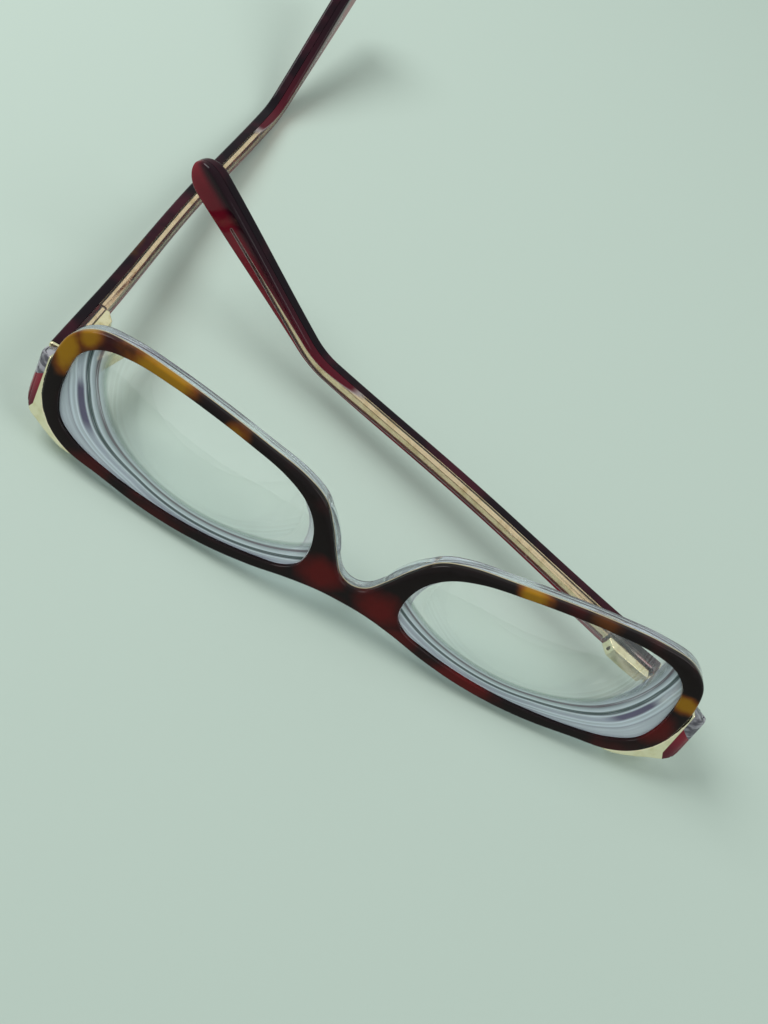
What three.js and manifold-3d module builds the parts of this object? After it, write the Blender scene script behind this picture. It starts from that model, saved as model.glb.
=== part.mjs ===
// Full-rim spectacles lying upside down on the brow edge, one temple open and one nearly folded.
// Millimetres, +Z up, X along the front, Y from the front back to the temple tips.
import * as THREE from "three";
import { mergeVertices } from "three/addons/utils/BufferGeometryUtils.js";
import Module from "manifold-3d";

const wasm = await Module();
wasm.setup();

// Pose of the glasses
const pantoscopicDeg = 22; // temples against a square to the front
const openAngleDeg = 90; // open temple, from the line of the front
const foldedAngleDeg = 16.7; // folded temple, from the line of the front

// Front
const frontBowRadius = 625; // the front bows back towards both temples
const tortoiseDepth = 1.5;
const clearDepth = 2.56;
const glueLine = 0.1;
const rimEdgeRound = 0.45;
const rimEdgeSmall = 0.25;
const grooveDepth = 0.6;
const grooveFlank = 0.5;
const past = 1; // cuts run on this far beyond the faces they open
const outlinePoints = 108;
const openingPoints = 52;

// Lenses
const lensClearance = 0.12;
const lensCentreX = 35;
const lensCentreZ = 8;
const lensCentreThickness = 1.35;
const lensBackRadius = 135;
const lensFrontBulge = 0.5;
const lensSetback = 0.75; // front surface behind the face of the front, at the rim
const lensRings = 6;

// Nose pads, one piece with the clear layer
const padPlace = [8.5, 3.5, 9];
const padRadii = [1.8, 4.2, 6];
const padLeanDeg = 35; // along the side of the notch
const padSplayDeg = 18; // further apart towards the face

// Hinges
const hingeX = 63.2;
const hingeBehind = 9.9;
const hingeHeight = 8.5;
const knuckleRadius = 1.2;
const knuckleGap = 0.12;
const middleKnuckle = 1.6;
const outerKnuckle = 1.35;
const screwRadius = 0.55;
const screwClearance = 0.1;
const screwHeadRadius = 0.95;
const screwHeadHeight = 0.5;
const jointGap = 0.3; // between the end piece and the temple's front face

// Spring hinge case and slider
const caseStart = 3.6;
const caseLength = 10.6;
const caseHeight = 3;
const caseInner = 0;
const caseOuter = 3.2;
const caseWall = 1;
const rodRadius = 0.5;
const rodOffset = 1.5;
const headRadius = 0.9;
const headLength = 0.8;
const boreRadius = 1.1;
const slideTravel = 1.4;
const springLength = 3.8;
const springWire = 0.15;
const springTurns = 5;
const slideClearance = 0.12;

// Temples
const templeInner = 2.2; // inner face, out from the hinge axis
const outerLayer = 2.1;
const innerLayer = 1.6;
const straightLength = 91.5;
const bendRadius = 16;
const bendDeg = 27;
const tipLength = 40.5;
const heightAtHinge = 4.4;
const heightAtMiddle = 3.3;
const heightAtTip = 7.6;
const tipRound = 5;
const tipEdge = 0.16; // share of the height left at the very end
const tipThin = 0.45; // share of each layer's thickness left at the very end
const stationStep = 7.5;
const tipStep = 5;
const bendSteps = 6;
const stationGap = 0.5;
const templeBow = 0.7;
const edgeRound = 0.55;
const capPlate = 0.5;

// Core wire in the inner layer
const wireHeight = 1.9;
const wireThickness = 0.8;
const wireTipHeight = 0.6;
const wireStart = caseStart + caseLength + 0.6;
const wireShort = 12.5; // the wire ends this far before the tip
const wireClearance = 0.12;

// End pieces
const flangeDepth = 0.8;
const seatGap = 0.15;
const inlayDepth = 0.45;
const inlayGap = 0.1;
const pinRadius = 0.45;
const pinLength = 2;
const pinPlaces = [
  [64.35, 9.2],
  [60.9, -1.7],
];
const templeFace = hingeX + templeInner + innerLayer + glueLine + outerLayer;
const innerWall = hingeX + knuckleRadius + 0.5;
const wrapInner = 56; // the end pieces reach in to here

// End piece from above: X, Y and how far an inset moves the point inwards and back.
const wrapFace = [
  [wrapInner, 3.2, 0, 1],
  [61, 3.5, 0, 1],
  [65.6, 3.95, 1, 1],
  [67.5, 4.7, 1, 1],
  [68.7, 6.1, 1, 1],
  [templeFace, 8.2, 1, 0],
];

// End piece from the front: its brow and outer edge, corner and inner edge.
const wrapEdge = [
  [56.6, -4.6],
  [59, -4.4],
  [62, -3.3],
  [64.8, -1.9],
  [66.9, -0.9],
  [68.4, 1.2],
  [templeFace + 0.3, 4.4],
  [templeFace + 0.4, 7],
  [templeFace + 0.2, 9.6],
];
const wrapTopEdge = 11.2;
const wrapCorner = [66.3, wrapTopEdge];
const flangeInner = [
  [63.6, wrapTopEdge],
  [63.6, 7.6],
  [63.1, 4.2],
  [61.4, 0.4],
  [56.6, -2.3],
];

// End piece from the side, Y-Z.
const wrapSide = [
  [2, -7],
  [5.2, -5.5],
  [6.4, -2.5],
  [8, 2.8],
  [9.2, 5.4],
  [hingeBehind + 1, 6.4],
  [hingeBehind + 1, wrapTopEdge - 0.4],
  [2, wrapTopEdge],
];

// Inlays let into the outer face: side views, Y-Z.
const redInlay = [
  [4.75, -3.4],
  [5.25, 3],
  [5.35, 9.7],
  [6.7, 7.9],
  [8.1, 5],
  [7.4, 1.6],
  [6.1, -2.2],
];
const greyInlay = [
  [5.7, 10.4],
  [9.4, 10],
  [9.4, 6.6],
  [8.4, 4.9],
  [7.1, 7.6],
];

// Right half of the front's outline, from the nose notch round the temple side to the brow.
const halfOutline = [
  [2.6, 2.5],
  [5.2, 6],
  [8, 10.6],
  [11.5, 14.8],
  [16.5, 17],
  [25, 18.6],
  [34, 20],
  [44, 21.1],
  [53, 21.5],
  [60, 20.6],
  [64.2, 17.4],
  [65.8, 12.5],
  [65.9, 7],
  [65, 2.5],
  [62, -1.5],
  [57.5, -3.9],
  [50, -5],
  [42, -6.1],
  [34, -6.5],
  [26, -6.1],
  [18, -4.9],
  [11, -3.3],
  [5, -2.35],
];
const notchTop = [0, 1.6];
const browMiddle = [0, -2.15];

// Right lens opening.
const openingOutline = [
  [62.6, 8],
  [61.6, 14.6],
  [58, 18],
  [52, 19.4],
  [44, 19.3],
  [36, 18.5],
  [28, 17.3],
  [20, 15.6],
  [14.5, 13],
  [11.2, 9.3],
  [9.8, 4.5],
  [10.4, 0.6],
  [13, -1.6],
  [18, -2.9],
  [25, -4],
  [33, -4.5],
  [41, -4.2],
  [49, -3.3],
  [56, -1.7],
  [60.6, 1],
  [62.2, 4.4],
];

const rad = THREE.MathUtils.degToRad;
const rimDepth = tortoiseDepth + glueLine + clearDepth;
const bowAt = (x) => (x * x) / (2 * frontBowRadius);

const paint = (color, roughness, metalness, opacity = 1) =>
  new THREE.MeshStandardMaterial({
    color,
    roughness,
    metalness,
    opacity,
    transparent: opacity < 1,
  });
const looks = {
  tortoise: () => paint(0x2a1410, 0.18, 0),
  clear: () => paint(0xd5dcdc, 0.1, 0, 0.6),
  lens: () => paint(0xdfe9e4, 0.05, 0, 0.4),
  gold: () => paint(0xc9b269, 0.25, 1),
  enamel: () => paint(0x9a1226, 0.2, 0),
  pearl: () => paint(0x9a9398, 0.3, 0.4),
  crimson: () => paint(0x5b0f1c, 0.15, 0, 0.8),
  steel: () => paint(0xb9b4a2, 0.3, 1),
};

// Booleans
function toSolid(geometry) {
  const source = geometry.index ? geometry.toNonIndexed() : geometry;
  const plain = new THREE.BufferGeometry();
  plain.setAttribute("position", source.getAttribute("position"));
  const merged = mergeVertices(plain, 1e-4);
  const corners = new Uint32Array(merged.index.array);
  const build = () =>
    new wasm.Manifold(
      new wasm.Mesh({
        numProp: 3,
        vertProperties: merged.attributes.position.array,
        triVerts: corners,
      }),
    );
  const solid = build();
  if (solid.volume() > 0) return solid;
  for (let i = 0; i < corners.length; i += 3) {
    [corners[i + 1], corners[i + 2]] = [corners[i + 2], corners[i + 1]];
  }
  return build();
}

// Cuts along curved skins can leave slivers: the piece is the largest body.
const largest = (solid) => solid.decompose().sort((a, b) => b.volume() - a.volume())[0];

function toGeometry(solid) {
  const mesh = solid.getMesh();
  const geometry = new THREE.BufferGeometry();
  geometry.setAttribute("position", new THREE.BufferAttribute(mesh.vertProperties, 3));
  geometry.setIndex(new THREE.BufferAttribute(mesh.triVerts, 1));
  geometry.computeVertexNormals();
  return geometry;
}

// Closed curve through the points, sampled evenly, as an anticlockwise loop.
function smoothLoop(points, count) {
  const path = points.map(([x, z]) => new THREE.Vector3(x, z, 0));
  const curve = new THREE.CatmullRomCurve3(path, true, "centripetal");
  const loop = curve.getSpacedPoints(count).slice(0, count);
  const flat = loop.map((p) => new THREE.Vector2(p.x, p.y));
  return THREE.ShapeUtils.area(flat) < 0 ? flat.reverse() : flat;
}

// An anticlockwise loop moved outwards, with mitred corners.
function offsetLoop(loop, distance) {
  const outward = (from, to) => {
    const along = to.clone().sub(from).normalize();
    return new THREE.Vector2(along.y, -along.x);
  };
  return loop.map((p, i) => {
    const before = outward(loop.at(i - 1), p);
    const after = outward(p, loop[(i + 1) % loop.length]);
    const mitre = distance / (1 + before.dot(after));
    return before.add(after).multiplyScalar(mitre).add(p);
  });
}

// Rings of equal length joined into one closed solid; the flat loop gives the caps at both ends.
function loft(rings, flatLoop) {
  const n = rings[0].length;
  const cap = THREE.ShapeUtils.triangulateShape([...flatLoop], []);
  if (THREE.ShapeUtils.area(flatLoop) < 0) cap.forEach((face) => face.reverse());
  const faces = [];
  for (let j = 0; j + 1 < rings.length; j += 1) {
    for (let i = 0; i < n; i += 1) {
      const a = j * n + i;
      const b = j * n + ((i + 1) % n);
      faces.push(a, a + n, b + n, a, b + n, b);
    }
  }
  const last = (rings.length - 1) * n;
  cap.forEach(([a, b, c]) => faces.push(a, b, c, last + a, last + c, last + b));
  const geometry = new THREE.BufferGeometry();
  const positions = rings.flat().flatMap((p) => p.toArray());
  geometry.setAttribute("position", new THREE.Float32BufferAttribute(positions, 3));
  geometry.setIndex(faces);
  return toSolid(geometry);
}

// A slab of the loop's shape through the given levels, bowed with the front.
function bowedSlab(loop, levels) {
  const rings = levels.map(([depth, grow]) =>
    offsetLoop(loop, grow).map((p) => new THREE.Vector3(p.x, depth + bowAt(p.x), p.y)),
  );
  return loft(rings, loop);
}

// A straight slab: "front" profiles are X-Z along Y, "top" X-Y along Z, "side" Y-Z along X.
const planes = {
  front: [1, 0, 0, 0, 0, 0, 1, 0, 0, 1, 0, 0, 0, 0, 0, 1],
  top: [1, 0, 0, 0, 0, 1, 0, 0, 0, 0, 1, 0, 0, 0, 0, 1],
  side: [0, 0, 1, 0, 1, 0, 0, 0, 0, 1, 0, 0, 0, 0, 0, 1],
};
function prism(plane, profile, from, to) {
  const shape = new THREE.Shape(profile.map(([a, b]) => new THREE.Vector2(a, b)));
  const settings = { depth: to - from, bevelEnabled: false };
  const geometry = new THREE.ExtrudeGeometry(shape, settings).translate(0, 0, from);
  return toSolid(geometry.applyMatrix4(new THREE.Matrix4().set(...planes[plane])));
}

function box(x, y, z) {
  const geometry = new THREE.BoxGeometry(x[1] - x[0], y[1] - y[0], z[1] - z[0]);
  return toSolid(geometry.translate((x[0] + x[1]) / 2, (y[0] + y[1]) / 2, (z[0] + z[1]) / 2));
}

// A round bar along "y" or "z", from one end to the other.
function bar(axis, radius, from, to, across, height, sides = 20) {
  const geometry = new THREE.CylinderGeometry(radius, radius, to - from, sides);
  const middle = (from + to) / 2;
  if (axis === "z") geometry.rotateX(Math.PI / 2).translate(across, height, middle);
  else geometry.translate(across, middle, height);
  return toSolid(geometry);
}

const hingeFrame = new THREE.Matrix4()
  .makeTranslation(hingeX, hingeBehind, hingeHeight)
  .multiply(new THREE.Matrix4().makeRotationX(rad(pantoscopicDeg)));
const inHingeFrame = (solid) => toSolid(toGeometry(solid).applyMatrix4(hingeFrame));

// The front's two laminated layers
const leftHalf = halfOutline.map(([x, z]) => [-x, z]).reverse();
const frontLoop = smoothLoop([notchTop, ...halfOutline, browMiddle, ...leftHalf], outlinePoints);
const openingLoop = smoothLoop(openingOutline, openingPoints);
const openingLoops = [openingLoop, openingLoop.map((p) => new THREE.Vector2(-p.x, p.y)).reverse()];
const clearFront = tortoiseDepth + glueLine;

function tortoiseLayer() {
  const slab = bowedSlab(frontLoop, [
    [0, -rimEdgeRound],
    [rimEdgeRound * 0.3, -rimEdgeRound * 0.3],
    [rimEdgeRound, 0],
    [tortoiseDepth, 0],
  ]);
  const openings = openingLoops.map((loop) =>
    bowedSlab(loop, [
      [-past, rimEdgeSmall + past],
      [rimEdgeSmall, 0],
      [tortoiseDepth - grooveFlank, 0],
      [tortoiseDepth + glueLine / 2, grooveDepth],
      [tortoiseDepth + past, grooveDepth],
    ]),
  );
  return openings.reduce((solid, hole) => solid.subtract(hole), slab);
}

function clearLayer() {
  const slab = bowedSlab(frontLoop, [
    [clearFront, 0],
    [rimDepth - rimEdgeRound, 0],
    [rimDepth - rimEdgeRound * 0.3, -rimEdgeRound * 0.3],
    [rimDepth, -rimEdgeRound],
  ]);
  const openings = openingLoops.map((loop) =>
    bowedSlab(loop, [
      [clearFront - past, grooveDepth],
      [clearFront - glueLine / 2, grooveDepth],
      [clearFront + grooveFlank, 0],
      [rimDepth - rimEdgeSmall, 0],
      [rimDepth + past, rimEdgeSmall + past],
    ]),
  );
  const rim = openings.reduce((solid, hole) => solid.subtract(hole), slab);
  return [1, -1].reduce((solid, side) => {
    const pad = new THREE.SphereGeometry(1, 18, 12).scale(...padRadii);
    pad.rotateZ(rad(-side * padSplayDeg)).rotateY(rad(side * padLeanDeg));
    pad.translate(padPlace[0] * side, padPlace[1], padPlace[2]);
    const behind = box([-hingeX, hingeX], [clearFront + grooveFlank, hingeX], [-hingeX, hingeX]);
    return solid.add(toSolid(pad).intersect(behind));
  }, rim);
}

// The pins go through the end piece's flange into blind holes in the clear layer.
const flangeFront = (x) => bowAt(x) + rimDepth + seatGap;
function pinSolid([x, z], grow) {
  const head = flangeFront(x) + flangeDepth;
  return bar("y", pinRadius + grow, head - pinLength - grow, head + grow, x, z, 12);
}
const pinHoles = (solid) => pinPlaces.reduce((left, place) => left.subtract(pinSolid(place, seatGap)), solid);

// A lens: rings from its centre to the bevel that sits in the groove.
function lensSolid() {
  const edge = offsetLoop(openingLoop, -lensClearance);
  const ridge = offsetLoop(openingLoop, grooveDepth - lensClearance * 2);
  const frontAt = (share) => lensSetback - lensFrontBulge * (1 - share * share);
  const backAt = (p, share) => {
    const out = Math.hypot(p.x - lensCentreX, p.y - lensCentreZ);
    const sag = lensBackRadius - Math.sqrt(lensBackRadius ** 2 - out * out);
    return frontAt(share) + lensCentreThickness + sag;
  };
  const place = (p, depth) => new THREE.Vector3(p.x, depth + bowAt(p.x), p.y);
  const centre = new THREE.Vector2(lensCentreX, lensCentreZ);
  const rings = [];
  for (let k = 1; k <= lensRings; k += 1) {
    const share = k / lensRings;
    rings.push(edge.map((p) => place(centre.clone().lerp(p, share), frontAt(share))));
  }
  const grooveMiddle = tortoiseDepth + glueLine / 2;
  rings.push(edge.map((p) => place(p, grooveMiddle - grooveFlank)));
  rings.push(ridge.map((p) => place(p, grooveMiddle)));
  rings.push(edge.map((p) => place(p, grooveMiddle + grooveFlank)));
  for (let k = lensRings; k >= 1; k -= 1) {
    const share = k / lensRings;
    rings.push(
      edge.map((p) => {
        const at = centre.clone().lerp(p, share);
        return place(at, backAt(at, share));
      }),
    );
  }
  return loft(rings, edge);
}

// End pieces: the shape seen from above, from the front and from the side, cut from one block.
const spline = (points, count) =>
  new THREE.SplineCurve(points.map(([a, b]) => new THREE.Vector2(a, b)))
    .getPoints(count)
    .map((p) => [p.x, p.y]);
// The end piece from above; a larger inset leaves the core under the inlays.
function wrapPlan(inset) {
  const outer = wrapFace.map(([x, y, inwards, back]) => [x - inset * inwards, y + inset * back]);
  const behind = hingeBehind + 3 * past;
  const plan = [
    ...spline([...outer, [templeFace - inset, behind]], 18),
    [innerWall, behind],
    [innerWall, flangeFront(innerWall) + flangeDepth],
    [wrapInner, flangeFront(wrapInner) + flangeDepth],
  ];
  return prism("top", plan, wrapSide[0][1] - past, wrapTopEdge + past);
}

function wrapBlock() {
  const front = [...spline(wrapEdge, 24), wrapCorner, ...flangeInner];
  const fromFront = prism("front", front, 0, hingeBehind + 2 * past);
  const fromSide = prism("side", wrapSide, wrapInner, templeFace + past);
  return wrapPlan(0).intersect(fromFront).intersect(fromSide);
}

const knuckleTop = middleKnuckle / 2 + knuckleGap + outerKnuckle;
function outerKnuckles() {
  return [1, -1].map((up) => {
    const near = (middleKnuckle / 2 + knuckleGap) * up;
    const far = knuckleTop * up;
    const heights = [Math.min(near, far), Math.max(near, far)];
    const barrel = bar("z", knuckleRadius, ...heights, 0, 0);
    const arm = box([0, innerWall - hingeX + 0.4], [-knuckleRadius, -0.1], heights);
    return inHingeFrame(barrel.add(arm));
  });
}

function endPieceSolid() {
  const rim = bowedSlab(frontLoop, [
    [-past, seatGap],
    [rimDepth + seatGap, seatGap],
  ]);
  const flangeLoop = [...spline(wrapEdge, 16), wrapCorner, ...flangeInner].map(
    ([x, z]) => new THREE.Vector2(Math.min(x, innerWall + 0.5), z),
  );
  const flange = prism("front", flangeLoop.map((p) => [p.x, p.y]), 0, hingeBehind).intersect(
    bowedSlab(frontLoop, [
      [rimDepth + seatGap, seatGap],
      [rimDepth + seatGap + flangeDepth, seatGap],
    ]),
  );
  const beyondJoint = inHingeFrame(box([-30, 30], [0, 30], [-30, 30]));
  const hole = bar("z", screwRadius + screwClearance, -4, 4, 0, 0, 24);
  const headRoom = bar("z", screwHeadRadius + screwClearance, knuckleTop, 4, 0, 0, 24);
  const screwHole = inHingeFrame(hole.add(headRoom));
  const body = wrapBlock().subtract(rim).add(flange).subtract(beyondJoint);
  return outerKnuckles()
    .reduce((solid, knuckle) => solid.add(knuckle), body)
    .subtract(screwHole);
}

function inlayPocket(profile, gap) {
  const drawn = profile.map(([y, z]) => new THREE.Vector2(y, z));
  const loop = THREE.ShapeUtils.area(drawn) < 0 ? drawn.reverse() : drawn;
  const grown = offsetLoop(loop, gap).map((p) => p.toArray());
  const clearOfRim = seatGap + 0.5 - gap;
  const rim = bowedSlab(frontLoop, [
    [-past, clearOfRim],
    [rimDepth + seatGap, clearOfRim],
  ]);
  const region = prism("side", grown, innerWall + 1, templeFace + 2);
  return region.subtract(wrapPlan(inlayDepth + gap)).subtract(rim);
}
const inlaySolid = (profile) => inlayPocket(profile, 0).intersect(wrapBlock());

// Temples, in the hinge frame: X out from the hinge axis, Y along, Z towards the cheek side.
const arcLength = bendRadius * rad(bendDeg);
const templeLength = straightLength + arcLength + tipLength;
const smooth = THREE.MathUtils.smoothstep;

function pathAt(s) {
  if (s <= straightLength) return [s, 0, 0];
  const angle = Math.min((s - straightLength) / bendRadius, rad(bendDeg));
  const rest = Math.max(0, s - straightLength - arcLength);
  const y = straightLength + bendRadius * Math.sin(angle) + rest * Math.cos(angle);
  const z = bendRadius * (1 - Math.cos(angle)) + rest * Math.sin(angle);
  return [y, z, angle];
}

const endShare = (s) => {
  const t = Math.max(0, (s - templeLength + tipRound) / tipRound);
  return Math.sqrt(Math.max(0, 1 - t * t));
};
function heightAt(s) {
  const narrow = heightAtHinge + (heightAtMiddle - heightAtHinge) * smooth(s, 0, straightLength / 2);
  const wide = (heightAtTip - heightAtMiddle) * smooth(s, straightLength, templeLength);
  return (narrow + wide) * Math.max(tipEdge, endShare(s));
}
const bowOf = (s) => {
  const t = THREE.MathUtils.clamp((s - wireStart) / (straightLength - wireStart), 0, 1);
  return templeBow * Math.sin(Math.PI * t) ** 2;
};

function stationsBetween(from, to) {
  const marks = [];
  for (let s = from; s < straightLength && s < to; s += stationStep) marks.push(s);
  for (let k = 0; k < bendSteps; k += 1) marks.push(straightLength + (arcLength * k) / bendSteps);
  for (let s = straightLength + arcLength; s < templeLength - tipRound; s += tipStep) marks.push(s);
  for (let k = 0; k < bendSteps; k += 1) {
    marks.push(templeLength - tipRound * (1 - Math.sin((Math.PI * k) / bendSteps / 2)));
  }
  return [from, ...marks.filter((s) => s > from + stationGap && s < to - stationGap), to];
}

// One layer through the temple's stations; section gives the [out, up] corners at a station.
function templeLoft(from, to, section) {
  const rings = stationsBetween(from, to).map((s) => {
    const [y, z, angle] = pathAt(s);
    return section(s).map(
      ([out, up]) =>
        new THREE.Vector3(out + bowOf(s), y - up * Math.sin(angle), z + up * Math.cos(angle)),
    );
  });
  const first = section(from).map(([a, b]) => new THREE.Vector2(a, b));
  return loft(rings, first);
}

// Half of the temple's section: flat on the joint plane, rounded on its free side.
function halfSection(joint, face, height, share) {
  const h = height / 2;
  const way = Math.sign(face - joint);
  const reach = joint + (face - joint) * (tipThin + (1 - tipThin) * share);
  const r = Math.min(edgeRound, h * 0.6);
  return [
    [joint, -h],
    [reach - way * r, -h],
    [reach - way * r * 0.3, -h + r * 0.3],
    [reach, -h + r],
    [reach, h - r],
    [reach - way * r * 0.3, h - r * 0.3],
    [reach - way * r, h],
    [joint, h],
  ];
}

const templeStart = jointGap + capPlate + glueLine;
const innerJoint = templeInner + innerLayer;
const outerJoint = innerJoint + glueLine;
const outerFace = outerJoint + outerLayer;
const wireOut = innerJoint - wireThickness;
const wireEnd = templeLength - wireShort;

const outerLayerSolid = () =>
  templeLoft(templeStart, templeLength, (s) =>
    halfSection(outerJoint, outerFace, heightAt(s), endShare(s)),
  );

function wireSolid(grow) {
  const heightOf = (s) =>
    wireHeight + (wireTipHeight - wireHeight) * smooth(s, straightLength - 5, wireEnd);
  return templeLoft(wireStart - grow, wireEnd + grow, (s) => {
    const h = heightOf(s) / 2 + grow;
    const inner = wireOut - grow;
    const outer = grow > 0 ? innerJoint + glueLine / 2 : innerJoint - 0.02;
    return [
      [inner, -h],
      [outer, -h],
      [outer, h],
      [inner, h],
    ];
  });
}

function innerLayerSolid() {
  const layer = templeLoft(templeStart, templeLength, (s) =>
    halfSection(innerJoint, templeInner, heightAt(s), endShare(s)),
  );
  const half = caseHeight / 2 + slideClearance;
  const pocket = box(
    [templeInner - 3, caseOuter + slideClearance],
    [caseStart - slideClearance, caseStart + caseLength + slideClearance],
    [-half, half],
  );
  return layer.subtract(pocket).subtract(wireSolid(wireClearance));
}

function capSolid() {
  const section = halfSection(templeInner, outerFace, heightAt(0), 1);
  return prismAlongTemple(section, jointGap, jointGap + capPlate);
}

function prismAlongTemple(section, from, to) {
  const ring = (y) => section.map(([out, up]) => new THREE.Vector3(out, y, up));
  const flat = section.map(([a, b]) => new THREE.Vector2(a, b));
  return loft([ring(from), ring(to)], flat);
}

// Spring hinge
const boreStart = caseStart + caseWall;
const springStart = boreStart + slideTravel + slideClearance;
const headStart = springStart + springLength + 0.1;
const boreEnd = caseStart + caseLength - caseWall;

function caseSolid() {
  const end = caseStart + caseLength;
  const plan = [
    [caseInner + 0.3, caseStart],
    [caseOuter, caseStart],
    [caseOuter, end],
    [caseInner + 1.6, end],
    [caseInner, end - 1.8],
    [caseInner, caseStart + 0.3],
  ];
  const body = prism("top", plan, -caseHeight / 2, caseHeight / 2);
  const bore = bar("y", boreRadius, boreStart, boreEnd, rodOffset, 0, 24);
  const mouth = bar("y", rodRadius + slideClearance, caseStart - past, boreStart + 0.2, rodOffset, 0, 24);
  return body.subtract(bore).subtract(mouth);
}

function sliderSolid() {
  const half = middleKnuckle / 2;
  const barrel = bar("z", knuckleRadius, -half, half, 0, 0);
  const tongue = box([-0.3, rodOffset + 0.4], [0.25, caseStart - 1], [-half, half]);
  const rod = bar("y", rodRadius, 1, headStart + headLength, rodOffset, 0);
  const head = bar("y", headRadius, headStart, headStart + headLength, rodOffset, 0);
  const hole = bar("z", screwRadius + screwClearance, -2, 2, 0, 0, 24);
  return barrel.add(tongue).add(rod).add(head).subtract(hole);
}

class Coil extends THREE.Curve {
  getPoint(t) {
    const turn = t * springTurns * 2 * Math.PI;
    const radius = (rodRadius + boreRadius) / 2;
    return new THREE.Vector3(
      rodOffset + radius * Math.cos(turn),
      springStart + springWire + t * (springLength - 2 * springWire),
      radius * Math.sin(turn),
    );
  }
}
function springSolid() {
  const round = new THREE.Shape().absarc(0, 0, springWire, 0, 2 * Math.PI);
  const section = new THREE.Shape(round.getPoints(3).slice(0, 6));
  const settings = { steps: springTurns * 9, extrudePath: new Coil(), bevelEnabled: false };
  return toSolid(new THREE.ExtrudeGeometry(section, settings));
}

function screwSolid() {
  const seat = knuckleTop + 0.05;
  const shank = bar("z", screwRadius, -knuckleTop, seat + 0.1, 0, 0);
  const head = bar("z", screwHeadRadius, seat, seat + screwHeadHeight, 0, 0);
  const slot = box([-1, 1], [-0.12, 0.12], [seat + screwHeadHeight - 0.2, seat + 1]);
  return shank.add(head).subtract(slot);
}

// Assembly
function piece(parent, name, solid, look) {
  const mesh = new THREE.Mesh(toGeometry(largest(solid)), look());
  mesh.name = name;
  parent.add(mesh);
}

const glasses = new THREE.Group();
const tortoise = tortoiseLayer();
piece(glasses, "front_tortoise_layer", tortoise, looks.tortoise);
const bothSidesPinned = pinPlaces
  .flatMap(([x, z]) => [pinSolid([x, z], seatGap), pinSolid([x, z], seatGap).mirror([1, 0, 0])])
  .reduce((solid, hole) => solid.subtract(hole), clearLayer());
piece(glasses, "front_clear_layer", bothSidesPinned, looks.clear);

const endPiece = endPieceSolid()
  .subtract(inlayPocket(redInlay, inlayGap))
  .subtract(inlayPocket(greyInlay, inlayGap));
const sidePieces = [
  ["lens", lensSolid(), looks.lens],
  ["end_piece", pinHoles(endPiece), looks.gold],
  ["red_inlay", inlaySolid(redInlay), looks.enamel],
  ["grey_inlay", inlaySolid(greyInlay), looks.pearl],
  ["upper_pin", pinSolid(pinPlaces[0], 0), looks.steel],
  ["lower_pin", pinSolid(pinPlaces[1], 0), looks.steel],
];
const templePieces = [
  ["hinge_slider", sliderSolid(), looks.gold],
  ["hinge_spring", springSolid(), looks.steel],
  ["hinge_case", caseSolid(), looks.gold],
  ["temple_cap", capSolid(), looks.gold],
  ["temple_outer_layer", outerLayerSolid(), looks.tortoise],
  ["temple_inner_layer", innerLayerSolid(), looks.crimson],
  ["core_wire", wireSolid(0), looks.gold],
];

for (const [label, mirror, angle] of [
  ["left", -1, openAngleDeg],
  ["right", 1, foldedAngleDeg],
]) {
  const side = new THREE.Group();
  side.scale.x = mirror;
  glasses.add(side);
  sidePieces.forEach(([name, solid, look]) => piece(side, `${name}_${label}`, solid, look));
  const hinge = new THREE.Group();
  hinge.applyMatrix4(hingeFrame);
  side.add(hinge);
  piece(hinge, `hinge_screw_${label}`, screwSolid(), looks.steel);
  const temple = new THREE.Group();
  temple.rotation.z = rad(90 - angle);
  hinge.add(temple);
  templePieces.forEach(([name, solid, look]) => piece(temple, `${name}_${label}`, solid, look));
}

// At rest the brow rims and the open temple's bend lie on the table.
const browEdge = new THREE.Vector2(bowAt(34) + rimDepth - rimEdgeRound, -6.5);
const heel = new THREE.Vector2(straightLength, -heightAtMiddle / 2)
  .rotateAround(new THREE.Vector2(), rad(pantoscopicDeg))
  .add(new THREE.Vector2(hingeBehind, hingeHeight));
glasses.rotation.x = -heel.clone().sub(browEdge).angle();
glasses.updateMatrixWorld(true);
const extent = new THREE.Box3().setFromObject(glasses, true);
const middle = extent.getCenter(new THREE.Vector3());
glasses.position.set(-middle.x, -middle.y, -extent.min.z);

export default glasses;
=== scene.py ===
from math import cos, pi, radians, sin, sqrt

import bmesh
import bpy
import numpy as np
from mathutils import Matrix, Vector
from mathutils.geometry import delaunay_2d_cdt


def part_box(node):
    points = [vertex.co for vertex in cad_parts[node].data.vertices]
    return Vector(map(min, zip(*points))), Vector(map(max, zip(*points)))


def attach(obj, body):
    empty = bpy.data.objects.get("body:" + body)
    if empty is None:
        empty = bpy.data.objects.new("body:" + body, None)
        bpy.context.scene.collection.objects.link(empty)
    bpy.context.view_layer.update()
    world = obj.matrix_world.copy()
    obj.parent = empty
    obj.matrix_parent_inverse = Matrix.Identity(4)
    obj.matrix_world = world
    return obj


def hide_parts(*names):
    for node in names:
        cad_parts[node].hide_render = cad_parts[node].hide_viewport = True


# Eyeglasses upside down on their brow edge, one temple open and one folded.
# Lengths are in millimetres until a mesh is made.
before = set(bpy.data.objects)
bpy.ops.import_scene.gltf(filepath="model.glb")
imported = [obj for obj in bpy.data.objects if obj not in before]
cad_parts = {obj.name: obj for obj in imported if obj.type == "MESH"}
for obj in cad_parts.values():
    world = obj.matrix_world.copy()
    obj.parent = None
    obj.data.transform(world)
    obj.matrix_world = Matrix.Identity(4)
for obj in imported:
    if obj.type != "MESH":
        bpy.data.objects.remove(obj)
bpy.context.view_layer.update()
print("frame loaded:", len(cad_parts), "nodes")

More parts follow.
